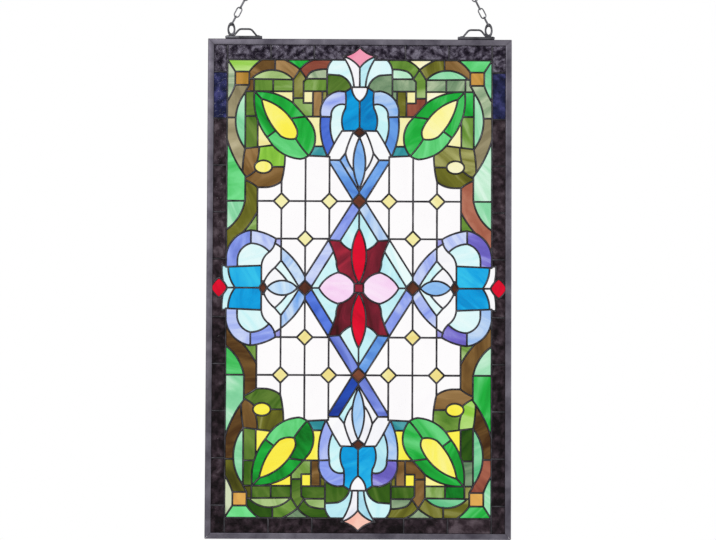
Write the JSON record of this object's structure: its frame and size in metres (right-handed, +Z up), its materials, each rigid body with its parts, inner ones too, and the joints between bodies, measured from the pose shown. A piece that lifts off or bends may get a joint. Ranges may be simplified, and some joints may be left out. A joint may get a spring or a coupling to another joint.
{
  "type": "hanging stained glass window",
  "caption": "Upright rectangular leaded glass panel with a floral and lattice pattern in a metal channel frame, hung from brackets by two chains that meet at a ring.",
  "frame": {"origin": "top of the inside of the hanging ring, where a hook carries the window", "axes": "+Z up, X across the panel, -Y out of the panel's front face"},
  "size_m": [0.5, 0.0106, 1.2686],
  "materials": {
    "solder": "dark patina solder beads, softly shiny",
    "frame_metal": "dark grey patina metal channel, satin",
    "chain_metal": "dark antique metal, satin",
    "glass_clear": "clear glass with a faint white streak",
    "glass_violet": "lavender blue streaky art glass",
    "glass_sky": "light blue art glass",
    "glass_cyan": "very pale cyan art glass",
    "glass_turquoise": "turquoise art glass",
    "glass_red": "bright red art glass",
    "glass_maroon": "deep maroon art glass",
    "glass_pink": "pale pink art glass",
    "glass_peach": "pink and peach art glass",
    "glass_yellow": "bright yellow art glass",
    "glass_pale_yellow": "pale straw yellow art glass",
    "glass_green": "leaf green streaky art glass",
    "glass_pale_green": "pale green art glass",
    "glass_olive": "dark olive green art glass",
    "glass_brown": "amber brown art glass",
    "glass_border": "very dark textured border glass"
  },
  "bodies": {
    "root": {"glass_centre": "glass_red", "petal_red_top": "glass_red", "petal_red_bottom": "glass_red", "petal_maroon_top_right": "glass_maroon", "petal_maroon_top_left": "glass_maroon", "petal_maroon_bottom_right": "glass_maroon", "petal_maroon_bottom_left": "glass_maroon", "petal_pink_right": "glass_pink", "petal_pink_left": "glass_pink", "jewel_upright_top": "glass_brown", "jewel_upright_bottom": "glass_brown", "jewel_side_right": "glass_brown", "jewel_side_left": "glass_brown", "bud_upright_top": "glass_sky", "bud_upright_bottom": "glass_sky", "bud_side_right": "glass_sky", "bud_side_left": "glass_sky", "star_pink_top": "glass_peach", "star_pink_bottom": "glass_peach", "star_red_right": "glass_red", "star_red_left": "glass_red", "leaf_heart_top_right": "glass_yellow", "leaf_heart_top_left": "glass_yellow", "leaf_heart_bottom_right": "glass_yellow", "leaf_heart_bottom_left": "glass_yellow", "lobe_upright_top_right": "glass_turquoise", "lobe_upright_top_left": "glass_turquoise", "lobe_upright_bottom_right": "glass_turquoise", "lobe_upright_bottom_left": "glass_turquoise", "lobe_side_top_right": "glass_turquoise", "lobe_side_top_left": "glass_turquoise", "lobe_side_bottom_right": "glass_turquoise", "lobe_side_bottom_left": "glass_turquoise", "petal_white_top_right": "glass_clear", "petal_white_top_left": "glass_clear", "petal_white_bottom_right": "glass_clear", "petal_white_bottom_left": "glass_clear", "petal_side_top_right": "glass_clear", "petal_side_top_left": "glass_clear", "petal_side_bottom_right": "glass_clear", "petal_side_bottom_left": "glass_clear", "petal_sky_top_right": "glass_cyan", "petal_sky_top_left": "glass_cyan", "petal_sky_bottom_right": "glass_cyan", "petal_sky_bottom_left": "glass_cyan", "scroll_eye_top_right": "glass_yellow", "scroll_eye_top_left": "glass_yellow", "scroll_eye_bottom_right": "glass_yellow", "scroll_eye_bottom_left": "glass_yellow", "solder_lattice": "solder", "channel_top": "frame_metal", "channel_right": "frame_metal", "channel_bottom": "frame_metal", "channel_left": "frame_metal", "bracket_right": "chain_metal", "bracket_left": "chain_metal", "chain_right": "chain_metal", "chain_left": "chain_metal", "hang_ring": "chain_metal"}
  },
  "joints": []
}
